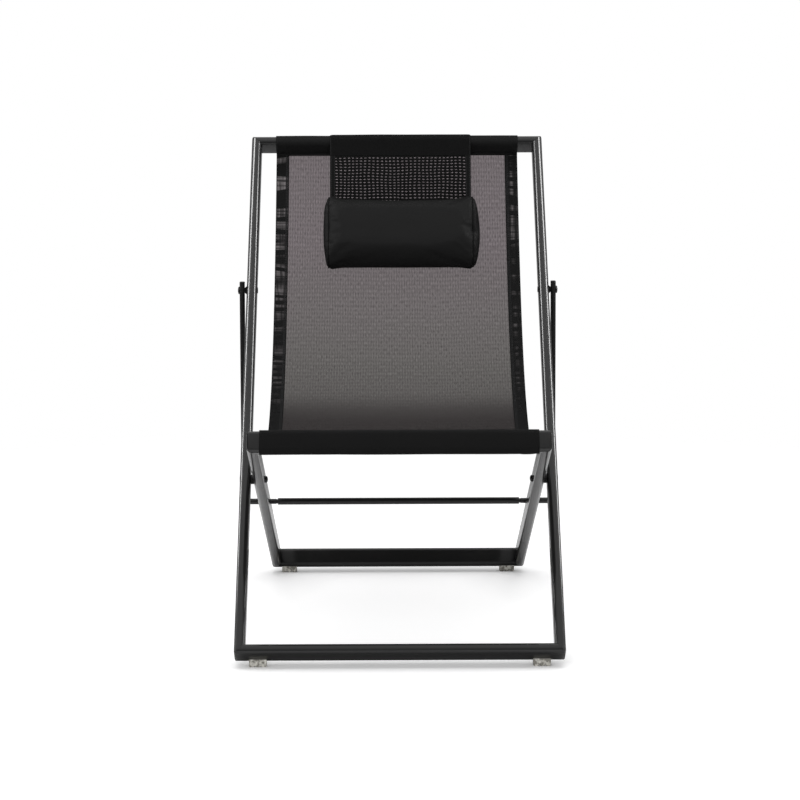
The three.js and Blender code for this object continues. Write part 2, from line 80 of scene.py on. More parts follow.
# Sling: its seams lie behind the top rail and behind the seat's front rail
SLING_WIDTH = 0.500
SLING_SLACK = 0.109
SLING_GIVE = 0.004
SLING_ROWS = 160
SLING_COLUMNS = 60
TOP_PULL = math.radians(-113)
TOP_SEAM_DOWN = 0.006
FRONT_SEAM_BACK = 0.0058
TUCK = 0.005
CLOTH_THICK = 0.0011

# Folded hems along its sides, and the sleeves round the rails
HEM = 0.0265
HEM_LAP = 0.002
HEM_THICK = 0.0026
HEM_COLUMNS = 28
HEM_SQUARE = 0.45
SLEEVE_THICK = 0.0013
SLEEVE_SAG = 0.0005
SLEEVE_COLUMNS = 100
GAP = 0.0003

# Headrest's strap: a band over the top rail and a net below it, both a little aside
ASIDE = 0.007
STRAP_WIDTH = 0.290
STRAP_THICK = 0.0014
NET_THICK = 0.0010
BAND_DROP = 0.033
BAND_REAR = 0.016
NET_TUCK = 0.014
BINDING = 0.011
EDGE_CURL = 0.0009
EDGE_CURL_WIDTH = 0.006
STRAP_WAVE = 0.0004

# Points along the strap: behind the rail, in each of its bends, and in front of it
REAR_STEPS = 20
BEND_STEPS = 12
FRONT_STEPS = 30

# Rows and columns of faces in the strap's pieces
BAND_GRID = (90, 80)
NET_GRID = (40, 40)
EDGE_GRID = (40, 6)

# Pillow: its size, and how far down the sling its middle lies
PILLOW_WIDTH = 0.294
PILLOW_HIGH = 0.158
PILLOW_FRONT = 0.036
PILLOW_BACK = 0.012
PILLOW_DOWN = 0.182
PILLOW_ROWS = 60
PILLOW_COLUMNS = 72

# Pillow's ends by side: how far each bulges past its seam, and how full its corners are
END_BULGE = {-1: 0.0062, 1: 0.014}
END_FULL = {-1: 5, 1: 2}

# Pillow's section: roundness above and below, and how far its front draws in below
ROUND_ABOVE = 0.62
ROUND_BELOW = 0.34
DRAWN_BELOW = 0.30

# Pillow's filling: its size before, its mesh's pitch, and the time, air and reach of the swelling
SLACK_SIZE = 0.97
VOXEL = 0.005
SWELL_FRAMES = 20
SWELL_PRESSURE = 4.0
SWELL_CAP = 0.005

# Pillow's cover: seams, puckers beside them, rolls, drawn corners and a sagging top edge
SEAM_DRAW = 0.0032
SEAM_WIDTH = 0.0035
PUCKER = 0.0010
PUCKER_REACH = 0.030
ROLL = 0.0009
EAR_ABOVE = 0.0042
EAR_BELOW = 0.0044
EAR_PLACE = 0.004
EAR_WIDTH = 0.018
TOP_SAG = 0.0055
PIPING_RADIUS = 0.0015
PIPING_AHEAD = 0.012
PIPING_REACH = 0.2
PIPING_TURN = 0.05
PIPING_STEPS = 120
PIPING_SIDES = 8

# Weaves and stitches. Stitch rows are given by how far in they lie from a cloth's edge
SLING_PITCH = 0.0014
RIB_PITCH = 0.0052
PICK_PITCH = 0.0098
TRIM_PITCH = 0.0012
BAND_PITCH = 0.0015
NET_WEAVE_PITCH = 0.0011
HEM_STITCHES = (0.0208, 0.0232)
BAND_STITCHES = (0.0014,)
BINDING_STITCHES = (0.0095, 0.0025)

# Net: pitch and length of its slots across and down, how square they are, how far they stray
NET_PITCH = (0.0085, 0.0065)
NET_SLOT = (0.0046, 0.0023)
NET_SQUARE = 2.6
NET_STRAY = (0.009, 0.006, 0)

# Light that comes through the sling and its colour, by the share of its length from the top; the
# share's fall down the length is painted shade
SLING_OPEN_WITH_PAINTED_SHADE = [
    (0.0, 0.146),
    (0.20, 0.150),
    (0.36, 0.130),
    (0.47, 0.112),
    (0.57, 0.086),
    (0.62, 0.036),
    (0.655, 0.017),
    (0.72, 0.010),
]
SLING_TINT = [(0.20, (1, 0.94, 0.962, 1)), (0.50, (1, 0.985, 0.965, 1))]

# Blocks of light in the hems: how fast they follow each other at the top, how much faster
# further down, how much they stray, and how they fade by metres from the top
BLOCK_TURN = 70
BLOCK_HURRY = 260
BLOCK_STRAY = 34
BLOCK_FADE = [(0.0, 1.0), (0.20, 0.70), (0.36, 0.40), (0.55, 0.25), (0.64, 0.0)]
HEM_TINT = (1, 0.96, 0.97, 1)

# The same blocks across each hem, as shares of its width from the outer fold
LEFT_COLUMNS = [(0.03, 0.3), (0.12, 1), (0.70, 0.8), (0.82, 0.1), (0.97, 0.4)]
RIGHT_COLUMNS = [(0.05, 0.3), (0.25, 0.05), (0.5, 1), (0.7, 0.1), (1, 0)]

# Colours
WHITE = (1.0, 1.0, 1.0, 1.0)
SLING_DARK = (0.012, 0.0095, 0.0098, 1)
SLING_LIGHT = (0.025, 0.020, 0.0205, 1)
THREAD = (0.030, 0.030, 0.031, 1)
CLEAR_DARK = (0.26, 0.25, 0.22, 1)
CLEAR_LIGHT = (0.74, 0.72, 0.66, 1)

# Faces of the frame that meet at more than this angle keep a sharp edge
SHARP_ANGLE = math.radians(32)
JOIN_DISTANCE = 0.00001

# Floor: it fades out by the share of its radius, and has a painted shade near the chair, in its glow
# and in what gloss mirrors
FLOOR_RADIUS = 2.6
FLOOR_SIDES = 96
FLOOR_FADE = [(0.45, 0.0), (0.95, 1.0)]
FLOOR_GLOW = 0.53
PAINTED_SHADE_REACH = 0.14
PAINTED_SHADE_POWER = 1.6
PAINTED_MIRRORED_SHADE = 0.05

# Studio: its even light, and the brightness that gloss mirrors, from below to overhead
STUDIO_LIGHT = (0.60, 0.60, 0.605, 1)
STUDIO_MIRRORED = [(0.40, 0.10), (0.575, 0.27), (0.72, 0.38), (0.88, 0.74), (0.93, 0.86)]

# Lamps: name, place, target, size and power. The strips stand on both sides and show in gloss alone
LAMPS = (
    ("overhead", (0.0, -0.3, 2.8), (0, 0, 0.3), (2.4, 1.6), 20),
    ("front", (-0.8, -3.4, 2.4), (0, 0, 0.5), (1.6, 1.6), 46),
    ("low", (0.3, -3.6, 0.5), (0, 0, 0.5), (2.4, 0.6), 13),
)
STRIPS = [("strip", (x, 0.3, 1.9), (0, 0, 0.7), (0.30, 2.4), 40) for x in (-1.7, 1.7)]


def along(point, angle, distance):
    """A point (y, z) moved by a distance in the direction of an angle."""
    return (point[0] + distance * math.cos(angle), point[1] + distance * math.sin(angle))


def rail_axis(name):
    """(y, z) of a cross rail's axis."""
    low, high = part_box(name)
    return ((low[1] + high[1]) / 2, (low[2] + high[2]) / 2)


def hanging_line(start, end, length):
    """Place and slope of a cloth that hangs from start to end, by the length down it.

    Halving finds the catenary that has this length.
    """
    span = start[0] - end[0]
    rise = start[1] - end[1]
    stretch = math.sqrt(length**2 - rise**2) / span
    low, high = 1e-6, 10.0
    for _ in range(60):
        middle = (low + high) / 2
        if math.sinh(middle) / middle < stretch:
            low = middle
        else:
            high = middle
    a = span / (2 * low)
    lowest = (start[0] + end[0]) / 2 - a * math.asinh(rise / (2 * a * math.sinh(low)))
    base = start[1] - a * math.cosh((start[0] - lowest) / a)
    top = a * math.sinh((start[0] - lowest) / a)

    def place(down, off=0.0):
        steep = (top - down) / a
        norm = math.hypot(1, steep)
        y = lowest + a * math.asinh(steep) - off * steep / norm
        z = base + a * norm + off / norm
        return y, z, math.atan(steep)

    return place


TOP_RAIL = rail_axis("back_top_rail")
FRONT_RAIL = rail_axis("seat_front_rail")
TOP_CORNER = along(along(TOP_RAIL, TOP_LEAN, -FLAT_HALF), TOP_LEAN - math.pi / 2, DEEP_HALF)
TOP_SEAM = along(TOP_CORNER, TOP_PULL, TUBE_ROUND + TOP_SEAM_DOWN)
FRONT_SEAM = along(FRONT_RAIL, FRONT_LEAN, TUBE_THICK / 2 + FRONT_SEAM_BACK)
SLING_LENGTH = math.dist(TOP_SEAM, FRONT_SEAM) + SLING_SLACK
sling_line = hanging_line(TOP_SEAM, FRONT_SEAM, SLING_LENGTH)


# Node trees


class Nodes:
    """Short calls for the nodes of a material or a world."""

    def __init__(self, tree):
        self.tree = tree

    def node(self, kind, **values):
        made = self.tree.nodes.new(kind)
        for key, value in values.items():
            if hasattr(made, key):
                setattr(made, key, value)
            else:
                made.inputs[key].default_value = value
        return made

    def set(self, socket, value):
        """Put a number or colour in a socket, or link another socket to it."""
        if isinstance(value, bpy.types.NodeSocket):
            self.tree.links.new(value, socket)
        else:
            socket.default_value = value

    def math(self, operation, a, b=None, c=None, clamp=False):
        made = self.node("ShaderNodeMath", operation=operation, use_clamp=clamp)
        for socket, value in zip(made.inputs, (a, b, c)):
            if value is not None:
                self.set(socket, value)
        return made.outputs[0]

    def ramp(self, source, stops, smooth=False):
        made = self.node("ShaderNodeValToRGB")
        self.set(made.inputs[0], source)
        made.color_ramp.interpolation = "EASE" if smooth else "LINEAR"
        elements = made.color_ramp.elements
        while len(elements) < len(stops):
            elements.new(0.5)
        for element, (place, level) in zip(elements, stops):
            element.position = place
            element.color = level if isinstance(level, tuple) else (level, level, level, 1)
        return made.outputs[0]

    def place(self):
        """Coordinates of the object itself, in metres."""
        return self.node("ShaderNodeTexCoord").outputs["Object"]

    def noise(self, scale, detail=2.0, source=None, stretch=(1, 1, 1), shift=(0, 0, 0)):
        made = self.node("ShaderNodeTexNoise", Scale=scale, Detail=detail)
        mapping = self.node("ShaderNodeMapping")
        self.set(mapping.inputs["Vector"], source or self.place())
        mapping.inputs["Scale"].default_value = stretch
        mapping.inputs["Location"].default_value = shift
        self.set(made.inputs["Vector"], mapping.outputs[0])
        return made.outputs["Fac"]

    def mix(self, factor, a, b):
        made = self.node("ShaderNodeMix", data_type="RGBA")
        for socket, value in zip((made.inputs[0], made.inputs[6], made.inputs[7]), (factor, a, b)):
            self.set(socket, value)
        return made.outputs[2]

    def split(self, vector):
        made = self.node("ShaderNodeSeparateXYZ")
        self.set(made.inputs[0], vector)
        return made.outputs["X"], made.outputs["Y"], made.outputs["Z"]


class Paint(Nodes):
    """A material built up from procedural nodes."""

    def __init__(self, name, roughness, specular):
        self.material = bpy.data.materials.new(name)
        self.material.use_nodes = True
        super().__init__(self.material.node_tree)
        self.bsdf = self.tree.nodes["Principled BSDF"]
        self.out = self.tree.nodes["Material Output"]
        self.put("Roughness", roughness)
        self.put("Specular IOR Level", specular)

    def put(self, name, value):
        self.set(self.bsdf.inputs[name], value)

    def rough(self, source, low, high):
        """Let a noise vary the roughness."""
        self.put("Roughness", self.ramp(source, [(0.3, low), (0.7, high)]))

    def bump(self, height, strength, distance):
        made = self.node("ShaderNodeBump", Strength=strength, Distance=distance)
        self.set(made.inputs["Height"], height)
        self.put("Normal", made.outputs[0])

    def see_through(self, share, tint=WHITE):
        """Let a share of the light through a piece, past its front and its back face.

        Each of the two faces passes the root of the share, and tints it.
        """
        share = self.math("SQRT", share)
        clear = self.node("ShaderNodeBsdfTransparent")
        self.set(clear.inputs["Color"], tint)
        mixed = self.node("ShaderNodeMixShader")
        self.set(mixed.inputs[0], share)
        self.set(mixed.inputs[1], self.bsdf.outputs[0])
        self.set(mixed.inputs[2], clear.outputs[0])
        self.set(self.out.inputs["Surface"], mixed.outputs[0])

    def wave(self, place, pitch, shift=0.0):
        """Sine of a place in metres, shifted by radians."""
        return self.math("SINE", self.math("MULTIPLY_ADD", place, 2 * math.pi / pitch, shift))

    def weave(self, uv, pitch):
        """Height of crossed threads, 0 to 1, by a map in metres."""
        x, y, _ = self.split(uv)
        crossed = self.math("MULTIPLY", self.wave(x, pitch), self.wave(y, pitch))
        return self.math("MULTIPLY_ADD", crossed, 0.5, 0.5)

    def stitches(self, across, down, rows, pitch=0.0042, length=0.0030, width=0.0007):
        """1 on the stitches of the rows that lie at these places across."""
        on = self.math("LESS_THAN", self.math("PINGPONG", down, pitch / 2), length / 2)
        total = 0.0
        for row in rows:
            off = self.math("ABSOLUTE", self.math("SUBTRACT", across, row))
            total = self.math("ADD", self.math("LESS_THAN", off, width / 2), total)
        return self.math("MULTIPLY", on, total, clamp=True)


def grey(level):
    return (level, level, level, 1)


def strap_rows(insets):
    """Places across the strap that lie this far in from either of its edges."""
    return [side * (STRAP_WIDTH / 2 - inset) for inset in insets for side in (-1, 1)]


# Hard finishes


def powder_coat():
    paint = Paint("powder_coat", 0.3, 0.2)
    patch = paint.noise(9, 3)
    grain = paint.noise(700, 2)
    scuff = paint.noise(55, 4, stretch=(1, 0.25, 1))
    paint.put("Base Color", paint.mix(patch, grey(0.0075), grey(0.0105)))
    worn = paint.ramp(scuff, [(0.60, 0.0), (0.78, 0.10)])
    paint.put("Roughness", paint.math("ADD", paint.ramp(patch, [(0.3, 0.30), (0.7, 0.38)]), worn))
    paint.bump(grain, 0.05, 0.0003)
    paint.put("Coat Weight", 0.75)
    paint.put("Coat Roughness", 0.06)
    return paint.material


def bolt_black():
    paint = Paint("bolt_black", 0.3, 0.5)
    patch = paint.noise(120, 3)
    paint.put("Base Color", paint.mix(patch, grey(0.010), grey(0.022)))
    paint.rough(patch, 0.20, 0.34)
    paint.put("Metallic", 0.25)
    paint.bump(paint.noise(1500, 2), 0.08, 0.0003)
    return paint.material


def nylon_black():
    paint = Paint("nylon_black", 0.5, 0.35)
    patch = paint.noise(60, 3)
    paint.put("Base Color", paint.mix(patch, grey(0.006), grey(0.011)))
    paint.rough(patch, 0.40, 0.54)
    paint.bump(paint.noise(700, 3), 0.15, 0.0004)
    return paint.material


def clear_nylon():
    paint = Paint("clear_nylon", 0.3, 0.5)
    patch = paint.noise(120, 2)
    cloud = paint.ramp(patch, [(0.40, 0.0), (0.60, 1.0)])
    paint.put("Base Color", paint.mix(cloud, CLEAR_DARK, CLEAR_LIGHT))
    paint.rough(patch, 0.22, 0.36)
    paint.put("Transmission Weight", 0.25)
    paint.put("IOR", 1.45)
    paint.bump(paint.noise(400, 2), 0.10, 0.0004)
    return paint.material


# Cloths


def cloth_map(paint):
    """Map of a cloth in metres: across and down it."""
    return paint.node("ShaderNodeUVMap").outputs[0]


def sling_cloth():
    """Coated mesh with ribs, picks and fine streaks. The light through it is painted to fall towards
    where it turns level, a painted shade lower down.
    """
    paint = Paint("sling_cloth", 0.7, 0.10)
    uv = cloth_map(paint)
    weave = paint.weave(uv, SLING_PITCH)
    streaks = paint.noise(700, 1, uv, (1.0, 0.16, 1.0))
    drift = paint.noise(9, 1, uv)
    blotch = paint.noise(14, 4, uv)
    tone = paint.math("MULTIPLY_ADD", weave, 0.5, paint.math("MULTIPLY", blotch, 0.5))
    paint.put("Base Color", paint.mix(tone, SLING_DARK, SLING_LIGHT))
    paint.rough(blotch, 0.62, 0.76)
    paint.bump(weave, 0.35, 0.0004)
    across, down, _ = paint.split(uv)
    ribs = paint.wave(across, RIB_PITCH, drift)
    picks = paint.wave(down, PICK_PITCH, paint.math("MULTIPLY", drift, 9))
    down = paint.math("DIVIDE", down, SLING_LENGTH)
    # Painted shade: the share that lets the backdrop through falls down the length, so the lower
    # sling reads darker from every side
    share = paint.ramp(down, SLING_OPEN_WITH_PAINTED_SHADE)
    fine = paint.math("MULTIPLY_ADD", streaks, 1.5, 0.25)
    fine = paint.math("MULTIPLY_ADD", ribs, 0.13, fine)
    fine = paint.math("MULTIPLY_ADD", picks, 0.08, fine)
    lattice = paint.math("MULTIPLY_ADD", weave, -0.8, 1.4)
    share = paint.math("MULTIPLY", share, paint.math("MULTIPLY", fine, lattice))
    paint.see_through(share, paint.ramp(down, SLING_TINT))
    return paint.material


def trim_cloth(name, dark, light, rows=(), pitch=TRIM_PITCH):
    """Close black cloth, with rows of stitches across the map's x."""
    paint = Paint(name, 0.8, 0.06)
    uv = cloth_map(paint)
    across, down, _ = paint.split(uv)
    weave = paint.weave(uv, pitch)
    blotch = paint.noise(30, 4, uv)
    tone = paint.math("MULTIPLY_ADD", weave, 0.4, paint.math("MULTIPLY", blotch, 0.6))
    colour = paint.mix(tone, grey(dark), grey(light))
    height = paint.math("MULTIPLY_ADD", paint.noise(90, 2, uv), 0.8, weave)
    if rows:
        sewn = paint.stitches(across, down, rows)
        colour = paint.mix(sewn, colour, THREAD)
        height = paint.math("MULTIPLY_ADD", sewn, 1.2, height)
    paint.put("Base Color", colour)
    paint.rough(blotch, 0.72, 0.86)
    paint.bump(height, 0.35, 0.0004)
    return paint


def hem_cloth(name, shift, columns, amount):
    """Mesh folded on itself: where both layers are open, light comes through in blocks and lines.

    The blocks shorten and fade down the hem.
    """
    paint = trim_cloth(name, 0.0062, 0.0105, HEM_STITCHES)
    uv = cloth_map(paint)
    across, down, _ = paint.split(uv)
    drift = paint.noise(13, 2, uv, (0.2, 1, 1), shift)
    turn = paint.math("MULTIPLY", down, paint.math("MULTIPLY_ADD", down, BLOCK_HURRY, BLOCK_TURN))
    turn = paint.math("MULTIPLY_ADD", drift, BLOCK_STRAY, turn)
    beat = paint.math("MULTIPLY_ADD", paint.math("SINE", turn), 0.5, 0.5)
    block = paint.ramp(beat, [(0.22, 0.0), (0.50, 1.0)])
    column = paint.ramp(paint.math("DIVIDE", across, HEM), columns, True)
    lines = paint.ramp(paint.noise(260, 1, uv, (0.04, 1, 1), shift), [(0.40, 0.20), (0.54, 1.0)])
    wisp = paint.ramp(paint.noise(260, 1, uv, (1, 0.08, 1), shift), [(0.38, 0.30), (0.56, 1.0)])
    patch = paint.ramp(paint.noise(20, 1, uv, (0.3, 1, 1), shift), [(0.38, 0.05), (0.56, 1.0)])
    fade = paint.ramp(down, BLOCK_FADE)
    share = amount
    for part in (block, lines, wisp, column, patch, fade):
        share = paint.math("MULTIPLY", part, share)
    paint.see_through(share, HEM_TINT)
    return paint.material


def net_cloth():
    """Net with rows of short slots, which stray a little."""
    paint = Paint("net_cloth", 0.8, 0.08)
    uv = cloth_map(paint)
    drawn = paint.node("ShaderNodeVectorMath", operation="MULTIPLY_ADD")
    wander = paint.node("ShaderNodeTexNoise", Scale=16.0, Detail=1.0)
    paint.set(wander.inputs["Vector"], uv)
    paint.set(drawn.inputs[0], wander.outputs["Color"])
    drawn.inputs[1].default_value = NET_STRAY
    paint.set(drawn.inputs[2], uv)
    x, y, _ = paint.split(drawn.outputs[0])
    terms = []
    for axis, pitch, slot in zip((x, y), NET_PITCH, NET_SLOT):
        off = paint.math("DIVIDE", paint.math("PINGPONG", axis, pitch / 2), slot / 2)
        terms.append(paint.math("POWER", off, NET_SQUARE))
    past_slot = paint.math("ADD", *terms)
    weave = paint.weave(uv, NET_WEAVE_PITCH)
    paint.put("Base Color", paint.mix(weave, grey(0.0025), grey(0.0055)))
    paint.rough(wander.outputs["Fac"], 0.74, 0.86)
    rim = paint.math("MINIMUM", past_slot, 3.0)
    paint.bump(paint.math("ADD", rim, weave), 0.4, 0.0005)
    paint.see_through(paint.math("LESS_THAN", past_slot, 1.0))
    return paint.material


def pillow_cloth():
    """Smooth close cloth whose weave follows the object's own coordinates."""
    paint = Paint("pillow_cloth", 0.62, 0.08)
    place = paint.place()
    fine = paint.noise(1100, 2, place, (1.0, 1.8, 1.8))
    crease = paint.noise(26, 3, place, (0.35, 1.6, 1.6))
    blotch = paint.noise(11, 3, place)
    tone = paint.math("MULTIPLY_ADD", fine, 0.4, paint.math("MULTIPLY", blotch, 0.6))
    paint.put("Base Color", paint.mix(tone, grey(0.0070), grey(0.0115)))
    paint.rough(blotch, 0.55, 0.68)
    paint.bump(paint.math("MULTIPLY_ADD", fine, 0.12, crease), 0.5, 0.0016)
    return paint.material


COAT = powder_coat()
BOLT = bolt_black()
NYLON = nylon_black()
CLEAR = clear_nylon()
SLING = sling_cloth()
TRIM = trim_cloth("trim_cloth", 0.0056, 0.0094).material
# The top sleeve's cloth is the front sleeve's, made lighter: painted light that lifts its shaded
# underside
TOP_TRIM_PAINTED_LIGHTER = trim_cloth("top_trim_cloth_painted_lighter", 0.0086, 0.0138).material
BAND = trim_cloth("band_cloth", 0.0037, 0.0061, strap_rows(BAND_STITCHES), BAND_PITCH).material
EDGE = trim_cloth("binding_cloth", 0.0048, 0.0078, strap_rows(BINDING_STITCHES)).material
HEM_LEFT = hem_cloth("hem_left", shift=(3.1, 7.7, 0), columns=LEFT_COLUMNS, amount=0.24)
HEM_RIGHT = hem_cloth("hem_right", shift=(9.4, 2.2, 0), columns=RIGHT_COLUMNS, amount=0.20)
NET = net_cloth()
PILLOW = pillow_cloth()
PIPING = trim_cloth("piping_cloth", 0.0040, 0.0070).material


# Meshes


def shade_smooth(mesh):
    mesh.polygons.foreach_set("use_smooth", [True] * len(mesh.polygons))


def mesh_object(name, vertices, faces, uvs, material):
    """An object with one material and a map in metres, given for each vertex."""
    mesh = bpy.data.meshes.new(name)
    mesh.from_pydata([tuple(v) for v in vertices], [], faces)
    layer = mesh.uv_layers.new(name="metres")
    flat = np.array([uvs[loop.vertex_index] for loop in mesh.loops], dtype=np.float32)
    layer.data.foreach_set("uv", flat.ravel())
    mesh.materials.append(material)
    shade_smooth(mesh)
    mesh.update()
    made = bpy.data.objects.new(name, mesh)
    bpy.context.scene.collection.objects.link(made)
    return made


def sheet_faces(rows, columns):
    """Faces of a sheet whose points are listed row by row."""
    wide = columns + 1
    firsts = [i * wide + j for i in range(rows) for j in range(columns)]
    return [(a, a + 1, a + wide + 1, a + wide) for a in firsts]


def ring_faces(rings, around, closed=False):
    """Faces between rings of points, and from the last ring to the first where they are closed."""
    faces = []
    for i in range(rings if closed else rings - 1):
        here, there = i * around, (i + 1) % rings * around
        for j in range(around):
            k = (j + 1) % around
            faces.append((here + j, here + k, there + k, there + j))
    return faces


def grid(name, rows, columns, place, material):
    """A sheet from place(s, t), which gives (point, uv) for s across and t along, both 0 to 1."""
    made = [place(j / columns, i / rows) for i in range(rows + 1) for j in range(columns + 1)]
    points = [point for point, _ in made]
    uvs = [uv for _, uv in made]
    return mesh_object(name, points, sheet_faces(rows, columns), uvs, material)


def thicken(obj, thickness):
    """Give a sheet a thickness, half of it on either side."""
    made = obj.modifiers.new("thickness", "SOLIDIFY")
    made.thickness = thickness
    made.offset = 0
    made.use_even_offset = True


def ripple(x, down):
    """Small unevenness of the hung cloth, square to its face."""
    return math.sin(x * 21 + down * 7) * 0.0004 + math.sin(x * 9 - down * 13 + 1.7) * 0.0005


def sling_place(x, down, off=0.0):
    """A point of the sling. It gives a little more in the middle of its width than along the hems."""
    share = min(1.0, max(0.0, down / SLING_LENGTH))
    across = 1 - (2 * x / SLING_WIDTH) ** 2
    give = -SLING_GIVE * across * math.sin(math.pi * share)
    y, z, _ = sling_line(down, off + give + ripple(x, down))
    return x, y, z


def sling_down(t):
    """Length down the sling, with what is tucked into the sleeves, for t from 0 to 1."""
    return -TUCK + (SLING_LENGTH + 2 * TUCK) * t


def sling_panel():
    half = SLING_WIDTH / 2 - HEM + HEM_LAP

    def place(s, t):
        x = (2 * s - 1) * half
        down = sling_down(t)
        return sling_place(x, down), (x, down)

    made = grid("sling", SLING_ROWS, SLING_COLUMNS, place, SLING)
    thicken(made, CLOTH_THICK)
    return made


def sling_hem(name, side, material):
    """A folded edge: an oval section, whose map runs in from the outer fold."""

    def place(s, t):
        turn = 2 * math.pi * s
        in_from_fold = HEM / 2 - HEM / 2 * math.cos(turn)
        lift = math.sin(turn)
        x = side * (SLING_WIDTH / 2 - in_from_fold)
        down = sling_down(t)
        off = HEM_THICK / 2 * math.copysign(abs(lift) ** HEM_SQUARE, lift)
        return sling_place(x, down, off), (in_from_fold, down)

    return grid(name, SLING_ROWS, HEM_COLUMNS, place, material)


def rounded_ring(rail, lean, offset):
    """Points (y, z) round a rail's tube at an offset."""
    points = []
    r = TUBE_ROUND + offset
    for side_out, side_up, start in ((1, 1, 0), (-1, 1, 90), (-1, -1, 180), (1, -1, 270)):
        base = along(rail, lean, side_out * FLAT_HALF)
        base = along(base, lean + math.pi / 2, side_up * DEEP_HALF)
        for i in range(RING_STEPS + 1):
            points.append(along(base, lean + math.radians(start + 90 * i / RING_STEPS), r))
    return points + points[:1]


def sleeve(name, rail, lean, tail, material):
    """Cloth round a rail, with small sags, and two layers that hold the sling's end between them.

    The tail gives where these start and end, in metres down the sling.
    """
    loop = rounded_ring(rail, lean, GAP + SLEEVE_THICK / 2)
    centre = Vector((rail[0], rail[1]))
    vertices, uvs = [], []
    length = 0.0
    for i, point in enumerate(loop):
        length += math.dist(point, loop[i - 1]) if i else 0.0
        out = (Vector(point) - centre).normalized()
        for j in range(SLEEVE_COLUMNS + 1):
            x = (j / SLEEVE_COLUMNS - 0.5) * SLING_WIDTH
            wave = noise.noise((x * 14, out.x * 1.3, out.y * 1.3 + rail[0] * 9))
            sag = SLEEVE_SAG * (1 + wave)
            vertices.append((x, point[0] + out.x * sag, point[1] + out.y * sag))
            uvs.append((x, length))
    faces = sheet_faces(len(loop) - 1, SLEEVE_COLUMNS)
    for lift in (-1, 1):
        base = len(vertices)
        for down in tail:
            for x in (-SLING_WIDTH / 2, SLING_WIDTH / 2):
                y, z, _ = sling_line(down, lift * (CLOTH_THICK + SLEEVE_THICK) / 2)
                vertices.append((x, y, z))
                uvs.append((x, down))
        faces.append((base, base + 1, base + 3, base + 2))
    made = mesh_object(name, vertices, faces, uvs, material)
    thicken(made, SLEEVE_THICK)
    return made


def strap_path():
    """Points (y, z) of the strap, their distances along it, and where its band ends.

    It runs up behind the top rail, over it and down in front, to behind the pillow.
    """
    inner = TUBE_ROUND + GAP + SLEEVE_THICK + 2 * SLEEVE_SAG + GAP + STRAP_THICK / 2
    up = along(TOP_RAIL, TOP_LEAN, FLAT_HALF)
    rear = along(up, TOP_LEAN - math.pi / 2, DEEP_HALF)
    front = along(up, TOP_LEAN + math.pi / 2, DEEP_HALF)
    low = along(front, TOP_LEAN, -2 * FLAT_HALF)
    y, z, slope = sling_line(PILLOW_DOWN, CLOTH_THICK / 2 + GAP + PILLOW_BACK)
    target = along((y, z), slope, PILLOW_HIGH / 2 - NET_TUCK)
    away = (target[0] - low[0], target[1] - low[1])
    leave = math.atan2(away[1], away[0]) - math.acos(inner / math.hypot(*away))
    square = TOP_LEAN + math.pi / 2
    path = []
    for i in range(REAR_STEPS + 1):
        path.append((rear[0] + inner, rear[1] - BAND_REAR * (1 - i / REAR_STEPS)))
    bends = ((rear, 0.0, TOP_LEAN), (front, TOP_LEAN, square), (low, square, leave + 2 * math.pi))
    for centre, first, last in bends:
        for i in range(1, BEND_STEPS + 1):
            path.append(along(centre, first + (last - first) * i / BEND_STEPS, inner))
    y, z = path[-1]
    for i in range(1, FRONT_STEPS + 1):
        share = i / FRONT_STEPS
        path.append((y + (target[0] - y) * share, z + (target[1] - z) * share))
    steps = [0.0] + [math.dist(a, b) for a, b in zip(path, path[1:])]
    distance = np.cumsum(steps)
    return np.array(path), distance, float(distance[-FRONT_STEPS - 1]) + BAND_DROP


STRAP_POINTS, STRAP_DISTANCE, BAND_END = strap_path()
NET_END = float(STRAP_DISTANCE[-1])


def strap_point(distance):
    """(y, z) of the strap at a distance along it."""
    return [float(np.interp(distance, STRAP_DISTANCE, STRAP_POINTS[:, axis])) for axis in (0, 1)]


def strap_strip(name, across, down, material, counts, thickness=STRAP_THICK):
    """Part of the strap between two places across and two distances along it.

    The strap waves a little, and its free edges lift.
    """

    def place(s, t):
        x = across[0] + (across[1] - across[0]) * s
        d = down[0] + (down[1] - down[0]) * t
        y, z = strap_point(d)
        y2, z2 = strap_point(d + 0.001)
        norm = math.hypot(y2 - y, z2 - z) or 1.0
        in_curl = max(0.0, (abs(x) - STRAP_WIDTH / 2 + EDGE_CURL_WIDTH) / EDGE_CURL_WIDTH)
        lift = EDGE_CURL * in_curl**2 + STRAP_WAVE * noise.noise((x * 12, d * 20, 3.0))
        return (x + ASIDE, y - lift * (z2 - z) / norm, z + lift * (y2 - y) / norm), (x, d)

    made = grid(name, *counts, place, material)
    thicken(made, thickness)
    return made


# Pillow: swelled by simulation from a slightly smaller shape


def pillow_frame():
    """Middle of the pillow's back face, and the directions out of the sling and up along it."""
    y, z, slope = sling_line(PILLOW_DOWN, CLOTH_THICK / 2 + GAP + PILLOW_BACK)
    middle = Vector((ASIDE, y, z))
    out = Vector((0, -math.sin(slope), math.cos(slope)))
    up = Vector((0, math.cos(slope), math.sin(slope)))
    return middle, out, up


def pillow_profile(turn):
    """(out, up) of the pillow's section: nearly flat before and behind, and turned under below."""
    c, s = math.cos(turn), math.sin(turn)
    corner = ROUND_BELOW if s < 0 else ROUND_ABOVE
    up = math.copysign(abs(s) ** 0.5, s) * PILLOW_HIGH / 2
    reach = PILLOW_FRONT if c > 0 else PILLOW_BACK
    out = math.copysign(abs(c) ** corner, c) * reach
    if c > 0 and s < 0:
        out *= 1 - DRAWN_BELOW * s**2
    return out, up


